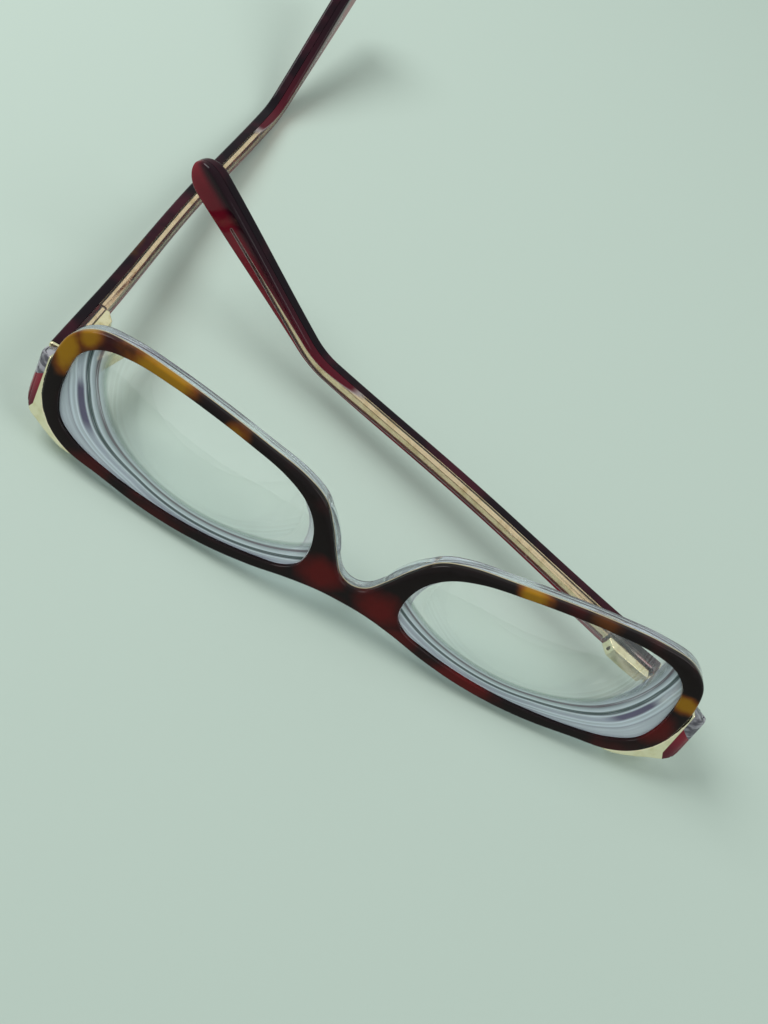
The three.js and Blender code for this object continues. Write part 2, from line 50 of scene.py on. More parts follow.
toMetres, toMillimetres = 0.001, 1000.0
pose = {
    "frontTilt": 27.84117548751051,  # degrees that the front leans back as it lies
    "templeTilt": 22.0,  # temples against a square to the front
    "openAngle": 90.0,
    "foldedAngle": 16.7,
    "bowRadius": 625.0,
}
frontLayers = {
    "tortoiseDepth": 1.5,
    "clearDepth": 2.56,
    "glueLine": 0.1,
    "outerRound": 0.45,
    "openingRound": 0.25,
    "grooveDepth": 0.6,
    "grooveFlank": 0.5,
    "grooveRelief": 0.05,
    "outlinePoints": 420,
    "openingPoints": 220,
    "grid": 1.1,
    "padPlace": (8.5, 3.5, 9.0),
    "padRadii": (1.8, 4.2, 6.0),
    "padLean": 35.0,
    "padSplay": 18.0,
    "padSegments": (48, 32),
}
hinge = {"x": 63.2, "behind": 9.9, "height": 8.5}
pinSpot = (60.9, -1.7)  # the lower pin, from which the whole frame is placed
flangeDepth, seatGap, pinLength = 0.8, 0.15, 2.0
sharpAngle, lensSharpAngle = 38.0, 20.0

# Right half of the front's outline, from the nose notch round the temple side to the brow
halfOutline = [
    (2.6, 2.5), (5.2, 6), (8, 10.6), (11.5, 14.8), (16.5, 17), (25, 18.6), (34, 20), (44, 21.1),
    (53, 21.5), (60, 20.6), (64.2, 17.4), (65.8, 12.5), (65.9, 7), (65, 2.5), (62, -1.5), (57.5, -3.9),
    (50, -5), (42, -6.1), (34, -6.5), (26, -6.1), (18, -4.9), (11, -3.3), (5, -2.35),
]
notchTop, browMiddle = (0, 1.6), (0, -2.15)
openingOutline = [
    (62.6, 8), (61.6, 14.6), (58, 18), (52, 19.4), (44, 19.3), (36, 18.5), (28, 17.3), (20, 15.6),
    (14.5, 13), (11.2, 9.3), (9.8, 4.5), (10.4, 0.6), (13, -1.6), (18, -2.9), (25, -4), (33, -4.5),
    (41, -4.2), (49, -3.3), (56, -1.7), (60.6, 1), (62.2, 4.4),
]

rimDepth = frontLayers["tortoiseDepth"] + frontLayers["glueLine"] + frontLayers["clearDepth"]

# The temples, whose sizes the crimson plastic's colours follow too
temple = {
    "inner": 2.2,
    "innerLayer": 1.6,
    "outerLayer": 2.1,
    "straight": 91.5,
    "bendRadius": 16.0,
    "bend": 27.0,
    "tip": 40.5,
    "heights": (4.4, 3.3, 7.6),  # at the hinge, the middle and the tip
    "tipRound": 5.0,
    "tipEdge": 0.1,
    "tipThin": 0.4,
    "bow": 0.7,
    "edgeRound": 0.6,
    "start": 0.9,
    "step": 1.6,
    "bendSteps": 16,
    "tipSteps": 18,
    "faceSteps": 5,
    "endGaps": (0.3, 0.02),  # no ring nearer than this after the start and before the end
    "roundLimits": (0.7, 0.8),  # of half the height and of the layer's depth
}
wire = {
    "start": 14.8,
    "short": 12.5,
    "height": 2.0,
    "tipHeight": 0.5,
    "inner": 2.9,
    "outer": 3.76,
    "round": 0.16,
    "taperBefore": 5,  # how far before the bend it starts to narrow
    "point": 2.0,
    "pointShare": 0.35,
}
arcLength = temple["bendRadius"] * radians(temple["bend"])
templeLength = temple["straight"] + arcLength + temple["tip"]
wireEnd = templeLength - wire["short"]
wireTaper = temple["straight"] - wire["taperBefore"]
innerJoint = temple["inner"] + temple["innerLayer"]
outerJoint = innerJoint + frontLayers["glueLine"]
outerFace = outerJoint + temple["outerLayer"]


def bowAt(x):
    return x * x / (2 * pose["bowRadius"])


def smoothstep(value, low, high):
    t = min(1.0, max(0.0, (value - low) / (high - low)))
    return t * t * (3 - 2 * t)


# Where the front and the two temples lie
frontTurn = Matrix.Rotation(-radians(pose["frontTilt"]), 4, "X")
pinLow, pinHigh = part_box("lower_pin_right")
pinDepth = bowAt(pinSpot[0]) + rimDepth + seatGap + flangeDepth - pinLength / 2
pinHere = frontTurn @ Vector((pinSpot[0], pinDepth, pinSpot[1]))
frontPlace = Matrix.Translation((pinLow + pinHigh) * (toMillimetres / 2) - pinHere) @ frontTurn
shrink = Matrix.Scale(toMetres, 4)
sides = {"left": (-1, pose["openAngle"]), "right": (1, pose["foldedAngle"])}


def mirrored(side):
    return frontPlace @ Matrix.Diagonal((sides[side][0], 1, 1, 1))


def templePlace(side):
    hingeSpot = Matrix.Translation((hinge["x"], hinge["behind"], hinge["height"]))
    tilt = Matrix.Rotation(radians(pose["templeTilt"]), 4, "X")
    return mirrored(side) @ hingeSpot @ tilt @ Matrix.Rotation(radians(90 - sides[side][1]), 4, "Z")


# Mesh helpers
curveSteps, tiny, weldGap, shortEdge = 40, 1e-12, 0.002, 0.0005
gridGap, triangleGap = 0.55, 1e-6


def smoothLoop(points, count):
    pts = np.array(points, float)
    n = len(pts)
    dense = []
    for i in range(n):
        p0, p1, p2, p3 = (pts[(i + k) % n] for k in (-1, 0, 1, 2))
        d0, d1, d2 = (sqrt(np.linalg.norm(b - a)) for a, b in ((p0, p1), (p1, p2), (p2, p3)))
        t1 = ((p1 - p0) / d0 - (p2 - p0) / (d0 + d1) + (p2 - p1) / d1) * d1
        t2 = ((p2 - p1) / d1 - (p3 - p1) / (d1 + d2) + (p3 - p2) / d2) * d1
        for t in np.linspace(0, 1, curveSteps, endpoint=False):
            square = (-3 * p1 + 3 * p2 - 2 * t1 - t2) * t * t
            dense.append(p1 + t1 * t + square + (2 * p1 - 2 * p2 + t1 + t2) * t ** 3)
    dense.append(dense[0])
    dense = np.array(dense)
    walked = np.concatenate([[0], np.cumsum(np.linalg.norm(np.diff(dense, axis=0), axis=1))])
    marks = np.linspace(0, walked[-1], count, endpoint=False)
    loop = np.stack([np.interp(marks, walked, dense[:, k]) for k in (0, 1)], axis=1)
    x, y = loop.T
    area = np.sum(x * np.roll(y, -1) - y * np.roll(x, -1))
    return loop if area > 0 else loop[::-1]


def offsetLoop(loop, distance):
    ahead = np.roll(loop, -1, axis=0) - loop
    ahead /= np.linalg.norm(ahead, axis=1)[:, None]
    outward = np.stack([ahead[:, 1], -ahead[:, 0]], axis=1)
    before = np.roll(outward, 1, axis=0)
    mitre = distance / (1 + np.sum(before * outward, axis=1))
    return loop + (before + outward) * mitre[:, None]


def insideLoop(points, loop):
    x, y = points[:, 0][:, None], points[:, 1][:, None]
    ax, ay = loop.T
    bx, by = np.roll(loop, -1, axis=0).T
    crosses = ((ay > y) != (by > y)) & (x < (bx - ax) * (y - ay) / (by - ay + tiny) + ax)
    return np.sum(crosses, axis=1) % 2 == 1


def plate(outer, holes, grid):
    loops = [outer, *holes]
    low, high = outer.min(axis=0), outer.max(axis=0)
    gx, gy = np.meshgrid(np.arange(low[0], high[0], grid), np.arange(low[1], high[1], grid))
    inner = np.stack([gx.ravel(), gy.ravel()], axis=1)
    edge = np.concatenate(loops)
    clear = np.array([np.min(np.sum((edge - p) ** 2, axis=1)) > (grid * gridGap) ** 2 for p in inner])

    def inRegion(points):
        within = insideLoop(points, outer)
        for hole in holes:
            within &= ~insideLoop(points, hole)
        return within

    inner = inner[clear & inRegion(inner)]
    points = np.concatenate([edge, inner])
    edges, start = [], 0
    for loop in loops:
        edges += [(start + i, start + (i + 1) % len(loop)) for i in range(len(loop))]
        start += len(loop)
    found = delaunay_2d_cdt([Vector(p) for p in points], edges, [], 0, triangleGap)
    spots = np.array([tuple(v) for v in found[0]])
    faces = np.array([tuple(f) for f in found[2]])
    return spots, faces[inRegion(spots[faces].mean(axis=1))]


class Shell:  # vertices and faces of one closed piece, gathered before the mesh is made
    def __init__(self):
        self.points, self.faces, self.marks, self.slots = [], [], [], []

    def add(self, points, faces, mark=(0.0, 0.0), slot=0):
        start = len(self.points)
        self.points += [tuple(p) for p in points]
        self.marks += [mark] * len(points) if isinstance(mark, tuple) else list(mark)
        self.faces += [tuple(start + int(i) for i in face) for face in faces]
        self.slots += [slot] * len(faces)

    def skin(self, rings, marks, slot=0):  # rings of equal length, each with its own marks
        n, start = len(rings[0]), len(self.points)
        for ring, mark in zip(rings, marks):
            self.add(ring, [], mark)
        for j in range(len(rings) - 1):
            for i in range(n):
                a, b = start + j * n + i, start + j * n + (i + 1) % n
                self.faces.append((a, b, b + n, a + n))
                self.slots.append(slot)

    def walls(self, rings, mark=(0.0, 0.0), slot=0):
        self.skin(rings, [mark] * len(rings), slot)


def meshData(name, mesh):
    data = bpy.data.meshes.new(name)
    mesh.to_mesh(data)
    mesh.free()
    return data


def linked(name, data):
    piece = bpy.data.objects.new(name, data)
    bpy.context.scene.collection.objects.link(piece)
    return piece


def applied(piece):  # the mesh that the piece's modifiers make of it
    made = bpy.data.meshes.new_from_object(piece.evaluated_get(bpy.context.evaluated_depsgraph_get()))
    piece.modifiers.clear()
    return made


def combine(piece, tool, operation):
    change = piece.modifiers.new("combine", "BOOLEAN")
    change.operation, change.object, change.solver = operation, tool, "EXACT"
    piece.data = applied(piece)
    bpy.data.objects.remove(tool)


def shadeSmooth(data):
    for polygon in data.polygons:
        polygon.use_smooth = True


def makePiece(name, shell, place, materials, body, node, sharp=sharpAngle):
    mesh = bmesh.new()
    along = mesh.verts.layers.float.new("along")
    across = mesh.verts.layers.float.new("across")
    corners = []
    for point, mark in zip(shell.points, shell.marks):
        corner = mesh.verts.new(place @ Vector(point))
        corner[along], corner[across] = float(mark[0]), float(mark[1])
        corners.append(corner)
    for face, slotIndex in zip(shell.faces, shell.slots):
        made = mesh.faces.new([corners[i] for i in face])
        made.material_index = slotIndex
        made.smooth = True
    bmesh.ops.remove_doubles(mesh, verts=mesh.verts, dist=weldGap)
    bmesh.ops.dissolve_degenerate(mesh, edges=mesh.edges, dist=shortEdge)
    bmesh.ops.recalc_face_normals(mesh, faces=mesh.faces)
    bmesh.ops.scale(mesh, vec=(toMetres, toMetres, toMetres), verts=mesh.verts)
    data = meshData(name, mesh)
    data.set_sharp_from_angle(angle=radians(sharp))
    piece = linked(name, data)
    for material in materials:
        data.materials.append(material)
    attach(piece, body)
    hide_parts(node)
    return piece


# Finishes
class Finish:  # a material and short calls that build its nodes
    def __init__(self, name):
        self.material = bpy.data.materials.new(name)
        self.material.use_nodes = True
        self.tree = self.material.node_tree
        self.shader = self.tree.nodes["Principled BSDF"]
        self.output = self.tree.nodes["Material Output"]

    def node(self, kind, inputs=(), **settings):
        made = self.tree.nodes.new("ShaderNode" + kind)
        for key, value in settings.items():
            setattr(made, key, value)
        for key, value in dict(inputs).items():
            self.feed(made.inputs[key], value)
        return made

    def feed(self, socket, value):
        if hasattr(value, "is_output"):
            self.tree.links.new(value, socket)
        else:
            socket.default_value = value

    def set(self, inputs):
        for key, value in inputs.items():
            self.feed(self.shader.inputs[key], value)

    def spot(self, turned=False):  # millimetres, in the front's own axes when turned
        place = self.node("TexCoord").outputs["Object"]
        mapping = self.node("Mapping", {"Vector": place})
        mapping.inputs["Scale"].default_value = (toMillimetres, toMillimetres, toMillimetres)
        if turned:
            back = frontPlace.inverted()
            mapping.inputs["Rotation"].default_value = back.to_euler()
            mapping.inputs["Location"].default_value = back.to_translation()
        return mapping.outputs["Vector"]

    def stretched(self, where, scale):
        mapping = self.node("Mapping", {"Vector": where})
        mapping.inputs["Scale"].default_value = scale
        return mapping.outputs["Vector"]

    def split(self, where):
        return self.node("SeparateXYZ", {0: where}).outputs

    def attribute(self, name):
        return self.node("Attribute", attribute_name=name).outputs["Fac"]

    def noise(self, where, scale, detail=3.0, rough=0.5):
        inputs = {"Vector": where, "Scale": scale, "Detail": detail, "Roughness": rough}
        return self.node("TexNoise", inputs).outputs["Fac"]

    def ranged(self, value, low, high, to=(0.0, 1.0)):
        inputs = {"Value": value, "From Min": low, "From Max": high, "To Min": to[0], "To Max": to[1]}
        return self.node("MapRange", inputs, interpolation_type="SMOOTHSTEP").outputs["Result"]

    def mix(self, factor, first, second):
        made = self.node("Mix", data_type="RGBA")
        self.feed(made.inputs["Factor"], factor)
        self.feed(made.inputs[6], first)  # 6 and 7 are the colour sockets
        self.feed(made.inputs[7], second)
        return made.outputs[2]

    def math(self, operation, first, second=0.0):
        made = self.node("Math", operation=operation)
        self.feed(made.inputs[0], first)
        self.feed(made.inputs[1], second)
        return made.outputs[0]

    def times(self, first, second):
        return self.math("MULTIPLY", first, second)

    def plus(self, first, second):
        return self.math("ADD", first, second)

    def minus(self, first, second):
        return self.math("SUBTRACT", first, second)

    def bump(self, height, strength, distance):
        inputs = {"Height": height, "Strength": strength, "Distance": distance}
        self.set({"Normal": self.node("Bump", inputs).outputs["Normal"]})

    def clearShadow(self, colour):
        isShadow = self.node("LightPath").outputs["Is Shadow Ray"]
        seeThrough = self.node("BsdfTransparent", {"Color": colour})
        both = self.node("MixShader")
        self.feed(both.inputs[0], isShadow)
        self.feed(both.inputs[1], self.shader.outputs[0])
        self.feed(both.inputs[2], seeThrough.outputs[0])
        self.feed(self.output.inputs["Surface"], both.outputs[0])


def rgb(red, green, blue):
    return (red, green, blue, 1.0)


# In these looks a noise is its scale, detail and roughness.
# A range is its low and high end and what they become.
havanaLook = {
    "dark": rgb(0.010, 0.0055, 0.006),
    "red": rgb(0.115, 0.006, 0.006),
    "warm": rgb(0.16, 0.045, 0.006),
    "amber": rgb(0.34, 0.165, 0.008),
    "paintedSeamShine": rgb(0.50, 0.42, 0.27),  # painted reflection: the cream line of light where it is laminated
    "seamShineFrom": 1.2,
    "seamShineSoft": 0.1,
    "ragged": (0.16, 3.0, 0.55),
    "raggedBy": 1.26,
    "patchEdge": (1.4, 0.3),
    "cloud": (0.09, 2.0),
    "cloudRange": (0.52, 0.75, (0.0, 0.35)),
    "warmRange": (0.0, 0.5),
    "amberRange": (0.35, 0.95),
    "gloss": (0.07, 0.2),
    "specular": 0.15,
    "ior": 1.5,
    # each patch: x, z on the front, half width, half height, how strong
    "amberPatches": [
        (-60.9, 19.3, 2.5, 3.4, 0.8), (-63.8, 14.8, 2.9, 4.6, 0.9), (-46.5, 20.2, 7.2, 2.6, 1.0),
        (-30.8, 17.4, 2.6, 2.4, 0.62), (28.6, 18.4, 3.2, 2.6, 0.95), (42, 20.3, 3.4, 2, 0.3),
        (64.4, 12.6, 4.2, 1.9, 0.8),
    ],
    "redPatches": [
        (-52, -4.4, 5, 2.2, 0.45), (-6, 1, 4.2, 3.4, 0.85), (7, 0.6, 5, 3.6, 0.9), (27, -5.2, 7.5, 2, 0.85),
        (62.5, 5.2, 3, 3.4, 0.75), (-38, -6, 6, 1.8, 0.3), (12, -3, 4, 2, 0.6),
    ],
    "patchDepth": 1000,
}
wearLook = {
    "smudges": (0.35, 5.0, 0.6),
    "smudgeRange": (0.35, 0.75),
    "scratchTurn": (0.4, 0.9, 0.7),
    "scratchStretch": (0.35, 5.0, 5.0),
    "scratches": (1.6, 4.0, 0.55),
    "scratchDepth": 0.00004,
    "dull": (0.5, 4.0),
    "dullRange": (0.45, 0.75),
}


def patches(finish, where, drift, listed):
    total = None
    for x, z, wide, high, strength in listed:
        shape = finish.node("Mapping", {"Vector": where}, vector_type="TEXTURE")
        shape.inputs["Location"].default_value = (x, 0, z)
        shape.inputs["Scale"].default_value = (wide, havanaLook["patchDepth"], high)
        far = finish.node("VectorMath", {0: shape.outputs["Vector"]}, operation="LENGTH").outputs["Value"]
        near = finish.ranged(finish.plus(far, drift), *havanaLook["patchEdge"], (0.0, strength))
        total = near if total is None else finish.math("MAXIMUM", total, near)
    return total


def fineWear(finish, where, gloss, scratch=0.12):
    look = wearLook
    wear = finish.noise(where, *look["smudges"])
    finish.set({"Roughness": finish.ranged(wear, *look["smudgeRange"], gloss)})
    lines = finish.node("Mapping", {"Vector": where})
    lines.inputs["Rotation"].default_value = look["scratchTurn"]
    lines.inputs["Scale"].default_value = look["scratchStretch"]
    finish.bump(finish.noise(lines.outputs["Vector"], *look["scratches"]), scratch, look["scratchDepth"])


def dulled(finish, where, light, deep):
    share = finish.ranged(finish.noise(where, *wearLook["dull"]), *wearLook["dullRange"])
    return finish.mix(share, light, deep)


def frontDepth(finish, split):  # how far behind the bowed front face
    bow = finish.times(finish.times(split["X"], split["X"]), 0.5 / pose["bowRadius"])
    return finish.minus(split["Y"], bow)


def havana():
    finish, look = Finish("frontHavana"), havanaLook
    where = finish.spot(turned=True)
    drift = finish.times(finish.minus(finish.noise(where, *look["ragged"]), 0.5), look["raggedBy"])
    cloud = finish.ranged(finish.noise(where, *look["cloud"]), *look["cloudRange"])
    red = finish.math("MAXIMUM", patches(finish, where, drift, look["redPatches"]), cloud)
    amber = patches(finish, where, drift, look["amberPatches"])
    ringed = finish.mix(red, look["dark"], look["red"])
    warm = finish.mix(finish.ranged(amber, *look["warmRange"]), ringed, look["warm"])
    patterned = finish.mix(finish.ranged(amber, *look["amberRange"]), warm, look["amber"])
    depth = frontDepth(finish, finish.split(where))
    # painted reflection: behind this depth the tortoise layer turns cream, as the glue line shines
    paintedSeamShine = finish.ranged(depth, look["seamShineFrom"], look["seamShineFrom"] + look["seamShineSoft"])
    finish.set({"Base Color": finish.mix(paintedSeamShine, patterned, look["paintedSeamShine"])})
    finish.set({"IOR": look["ior"], "Specular IOR Level": look["specular"]})
    fineWear(finish, where, look["gloss"])
    return finish.material


templeLook = {
    "cloud": (0.07, 3.0, 0.6),
    "cloudRange": (0.42, 0.7),
    "dark": rgb(0.008, 0.004, 0.007),
    "plum": rgb(0.045, 0.008, 0.016),
    "patches": (0.11, 2.0),
    "patchRange": (0.62, 0.75, (0.0, 0.5)),
    "patchesFade": (60.0, 20.0),  # along the temple, from the hinge
    "amber": rgb(0.24, 0.09, 0.012),
    "gloss": (0.07, 0.2),
    "specular": 0.12,
    "ior": 1.5,
}


def templeHavana():
    finish, look = Finish("templeHavana"), templeLook
    where = finish.spot()
    cloud = finish.noise(where, *look["cloud"])
    plum = finish.mix(finish.ranged(cloud, *look["cloudRange"]), look["dark"], look["plum"])
    amberShare = finish.ranged(finish.noise(where, *look["patches"]), *look["patchRange"])
    fade = finish.times(amberShare, finish.ranged(finish.attribute("along"), *look["patchesFade"]))
    finish.set({"Base Color": finish.mix(fade, plum, look["amber"])})
    finish.set({"IOR": look["ior"], "Specular IOR Level": look["specular"]})
    fineWear(finish, where, look["gloss"])
    return finish.material


clearLook = {
    "stretch": (0.10, 2.4, 0.5),
    "streaks": (0.9, 3.0),
    "streakRange": (0.38, 0.62),
    "shadeLineFrom": (0.62, 0.5),  # painted shade: a dark line by the rear edge, in front of the rear face
    "shadeLineTo": (0.05, 0.2),
    "shadeLineBreaks": (0.05, 2.0),
    "shadeLineRange": (0.28, 0.42),
    "line": rgb(0.035, 0.015, 0.03),
    "middle": (0.045, 2.0),
    "middleRange": (0.42, 0.62),
    "streak": rgb(0.66, 0.72, 0.77),
    "pale": rgb(0.86, 0.91, 0.90),
    "white": rgb(0.92, 0.96, 1.0),
    "clearness": (0.76, 0.94),
    "shadeLineClearness": 0.1,
    "ior": 1.49,
    "gloss": (0.02, 0.1),
    "scratch": 0.06,
    "shadow": rgb(0.80, 0.82, 0.84),
}


def clearAcetate():
    finish, look = Finish("clearAcetate"), clearLook
    where, front = finish.spot(), finish.spot(turned=True)
    streaks = finish.noise(finish.stretched(front, look["stretch"]), *look["streaks"])
    tint = finish.ranged(streaks, *look["streakRange"])
    depth = frontDepth(finish, finish.split(front))
    # painted shade: a dark line just in front of the rear face, broken up by noise and less clear
    starts = finish.ranged(depth, *(rimDepth - inFront for inFront in look["shadeLineFrom"]))
    ends = finish.ranged(depth, *(rimDepth - inFront for inFront in look["shadeLineTo"]))
    breaks = finish.ranged(finish.noise(front, *look["shadeLineBreaks"]), *look["shadeLineRange"])
    line = finish.times(finish.times(starts, ends), breaks)
    middle = finish.ranged(finish.noise(front, *look["middle"]), *look["middleRange"])
    streaked = finish.mix(tint, look["streak"], finish.mix(middle, look["pale"], look["white"]))
    finish.set({"Base Color": finish.mix(line, streaked, look["line"]), "IOR": look["ior"]})
    see = finish.ranged(tint, 0.0, 1.0, look["clearness"])
    lined = finish.ranged(line, 0.0, 1.0, (1.0, look["shadeLineClearness"]))
    finish.set({"Transmission Weight": finish.times(see, lined)})
    fineWear(finish, where, look["gloss"], look["scratch"])
    finish.clearShadow(look["shadow"])
    return finish.material


# Clear over the wire and tinted beside it: heights are above the temple's middle line, in millimetres
crimsonLook = {
    "wireStops": (1.5, 0.5),  # before and after the wire's end
    "beyondWire": 9.0,
    "upperRange": (-0.6, 1.0),
    "edgeShift": (-0.4, 1.3),  # the lower and the upper edge of the clear band, up to the bend
    "shiftFades": (72.0, 94.0),
    "edge": (-0.15, 0.25),
    "cloud": (0.08, 2.0),
    "cloudRange": (0.3, 0.7),
    "clear": (rgb(0.98, 0.96, 0.93), rgb(0.95, 0.90, 0.88)),
    "crimson": (rgb(0.25, 0.010, 0.024), rgb(0.17, 0.006, 0.018)),
    "plum": (rgb(0.075, 0.004, 0.014), rgb(0.014, 0.002, 0.007)),
    "plumDeepens": (0.9, 3.2),
    "plumFrom": (0.0, 2.2),
    "clearness": (1.0, 0.1),
    "ior": 1.49,
    "specular": 0.14,
    "gloss": (0.03, 0.14),
    "scratch": 0.08,
    "soak": rgb(0.90, 0.12, 0.16),
    "soakDensity": 90.0,
    "shadow": rgb(0.45, 0.22, 0.22),
}


def crimsonAcetate():
    finish, look = Finish("crimsonAcetate"), crimsonLook
    where = finish.spot()
    along, height = finish.attribute("along"), finish.attribute("across")
    upper = finish.ranged(height, *look["upperRange"])
    narrowed = finish.ranged(along, wireTaper, wireEnd, (wire["height"] / 2, wire["tipHeight"] / 2))
    before, after = look["wireStops"]
    stopped = finish.ranged(along, wireEnd - before, wireEnd + after, (0.0, look["beyondWire"]))
    half = finish.minus(narrowed, stopped)
    toBend = finish.ranged(along, *look["shiftFades"], (1.0, 0.0))
    shift = finish.times(finish.ranged(upper, 0.0, 1.0, look["edgeShift"]), toBend)
    past = finish.minus(finish.math("ABSOLUTE", height), finish.plus(half, shift))
    tinted = finish.ranged(past, *look["edge"])
    cloud = finish.ranged(finish.noise(where, *look["cloud"]), *look["cloudRange"])
    clear = finish.mix(cloud, *look["clear"])
    bright = finish.mix(cloud, *look["crimson"])
    plum = finish.mix(finish.ranged(height, *look["plumDeepens"]), *look["plum"])
    deep = finish.mix(finish.ranged(height, *look["plumFrom"]), bright, plum)
    finish.set({"Base Color": finish.mix(tinted, clear, deep), "IOR": look["ior"]})
    finish.set({"Transmission Weight": finish.ranged(tinted, 0.0, 1.0, look["clearness"])})
    finish.set({"Specular IOR Level": look["specular"]})
    fineWear(finish, where, look["gloss"], look["scratch"])
    soak = finish.node("VolumeAbsorption", {"Color": look["soak"], "Density": look["soakDensity"]})
    finish.feed(finish.output.inputs["Volume"], soak.outputs["Volume"])
    finish.clearShadow(look["shadow"])
    return finish.material


# Painted reflections: rings near a strong lens's edge, each with place from the edge (0) inwards (1), colour
# and milkiness
paintedEdgeRings = [
    (0.0, rgb(0.52, 0.58, 0.65), 0.75),
    (0.05, rgb(0.34, 0.37, 0.44), 0.75),
    (0.09, rgb(0.70, 0.79, 0.87), 0.85),
    (0.16, rgb(0.46, 0.53, 0.59), 0.75),
    (0.205, rgb(0.76, 0.85, 0.93), 0.85),
    (0.25, rgb(0.40, 0.44, 0.53), 0.75),
    (0.36, rgb(0.42, 0.47, 0.55), 0.72),
    (0.41, rgb(0.74, 0.83, 0.90), 0.88),
    (0.445, rgb(0.24, 0.27, 0.32), 0.85),
    (0.47, rgb(0.025, 0.05, 0.055), 0.94),
    (0.53, rgb(0.03, 0.06, 0.065), 0.94),
    (0.56, rgb(0.74, 0.83, 0.90), 0.85),
    (0.65, rgb(0.42, 0.49, 0.53), 0.6),
    (0.695, rgb(0.11, 0.085, 0.11), 0.8),
    (0.74, rgb(0.14, 0.11, 0.13), 0.75),
    (0.77, rgb(0.60, 0.68, 0.74), 0.65),
    (0.86, rgb(0.40, 0.46, 0.47), 0.4),
    (0.93, rgb(0.42, 0.50, 0.46), 0.15),
    (1.0, rgb(0.975, 0.99, 0.98), 0.0),
]
lensLook = {
    "smudges": (0.12, 4.0, 0.6),
    "shineStreakPitch": (34.0, 2.5),  # inwards and along the rings
    "streaks": (1.0, 2.0),
    "streakRange": (0.5, 0.68, (0.0, 0.45)),
    "ringMilkRange": (0.5, 0.8),
    # painted highlight: the colour of bright streaks along the rings
    "streak": rgb(0.84, 0.92, 1.0),
    # painted reflection: a dark plum patch within the rings, half way up
    "plum": rgb(0.085, 0.065, 0.15),
    "paintedPlumStarts": (0.2, 0.27),
    "paintedPlumEnds": (0.42, 0.36),
    "paintedPlumHeight": 0.45,
    "paintedPlumReach": (0.22, 0.1),
    "ior": 1.7,
    "gloss": (0.5, 0.8, (0.0, 0.03)),
    "shadow": rgb(0.93, 0.95, 0.94),
}
groundLook = {
    "grain": (1.4, 3.0),
    "colours": (rgb(0.70, 0.72, 0.77), rgb(0.88, 0.90, 0.93)),
    "gloss": (0.3, 0.7, (0.35, 0.55)),
    "clearness": 0.55,
    "ior": 1.6,
    "pits": (3.0, 2.0),
    "pitStrength": 0.2,
    "pitDepth": 0.00005,
    "shadow": rgb(0.8, 0.82, 0.85),
}


def paintedRingRamp(finish, inward, colours):
    ramp = finish.node("ValToRGB", {"Fac": inward})
    for index, (stop, colour) in enumerate(zip(paintedEdgeRings, colours)):
        elements = ramp.color_ramp.elements
        element = elements[index] if index < 2 else elements.new(stop[0])  # a new ramp has two already
        element.position, element.color = stop[0], colour
    return ramp.outputs["Color"]


def lensGlass():
    finish, look = Finish("lensGlass"), lensLook
    smudge = finish.noise(finish.spot(), *look["smudges"])
    inward, across = finish.attribute("along"), finish.attribute("across")
    # painted reflections: the rings' colours and milkiness, from the edge inwards
    colour = paintedRingRamp(finish, inward, [ring[1] for ring in paintedEdgeRings])
    paintedRingMilk = paintedRingRamp(finish, inward, [rgb(ring[2], ring[2], ring[2]) for ring in paintedEdgeRings])
    pitchIn, pitchAlong = look["shineStreakPitch"]
    pitched = {"X": finish.times(inward, pitchIn), "Y": finish.times(across, pitchAlong)}
    drawn = finish.node("CombineXYZ", pitched).outputs["Vector"]
    # painted highlights: bright streaks along the rings, where the rings are milky
    streaks = finish.ranged(finish.noise(drawn, *look["streaks"]), *look["streakRange"])
    paintedShineShare = finish.times(streaks, finish.ranged(paintedRingMilk, *look["ringMilkRange"]))
    fine = finish.mix(paintedShineShare, colour, look["streak"])
    # painted reflection: a plum patch within the rings, half way up
    band = finish.times(finish.ranged(inward, *look["paintedPlumStarts"]), finish.ranged(inward, *look["paintedPlumEnds"]))
    away = finish.math("ABSOLUTE", finish.minus(across, look["paintedPlumHeight"]))
    plum = finish.times(band, finish.ranged(away, *look["paintedPlumReach"]))
    finish.set({"Base Color": finish.mix(plum, fine, look["plum"]), "IOR": look["ior"]})
    finish.set({"Transmission Weight": finish.minus(1.0, paintedRingMilk)})
    finish.set({"Roughness": finish.ranged(smudge, *look["gloss"])})
    finish.clearShadow(look["shadow"])
    return finish.material


def groundEdge():
    finish, look = Finish("lensGroundEdge"), groundLook
    where = finish.spot()
    grind = finish.noise(where, *look["grain"])
    finish.set({"Base Color": finish.mix(grind, *look["colours"])})
    finish.set({"Roughness": finish.ranged(grind, *look["gloss"])})
    finish.set({"Transmission Weight": look["clearness"], "IOR": look["ior"]})
    finish.bump(finish.noise(where, *look["pits"]), look["pitStrength"], look["pitDepth"])
    finish.clearShadow(look["shadow"])
    return finish.material


def metal(name, light, deep, gloss):
    finish = Finish(name)
    where = finish.spot()
    finish.set({"Base Color": dulled(finish, where, light, deep), "Metallic": 1.0})
    fineWear(finish, where, gloss)
    return finish.material


# The enamelled face of an end piece, in the front's own x and z; the left one is a mirror image
enamelFace = {
    "bandEdge": 66.45,
    "rightWider": 0.25,
    "sideBlend": 1.0,
    "foot": 0.7,  # below this the gold band widens
    "footSlope": 0.55,
    "greyFrom": 7.4,
    "greySlope": 0.82,
    "soft": 0.12,
    "red": (rgb(0.10, 0.005, 0.018), rgb(0.24, 0.010, 0.028)),
    "redCloud": (0.3, 3.0),
    "redCloudHeight": 3.0,
    "redRange": (1.0, 8.0),
    "grey": (rgb(0.10, 0.09, 0.115), rgb(0.36, 0.34, 0.385)),
    "greyStretch": (0.3, 0.3, 1.0),
    "greyStreaks": (0.9, 2.0),
    "greyRange": (0.42, 0.6),
    "gold": (rgb(0.93, 0.83, 0.60), rgb(0.80, 0.69, 0.45)),
    "specular": 0.25,
    "gloss": (0.12, 0.28),
    "scratch": 0.08,
}


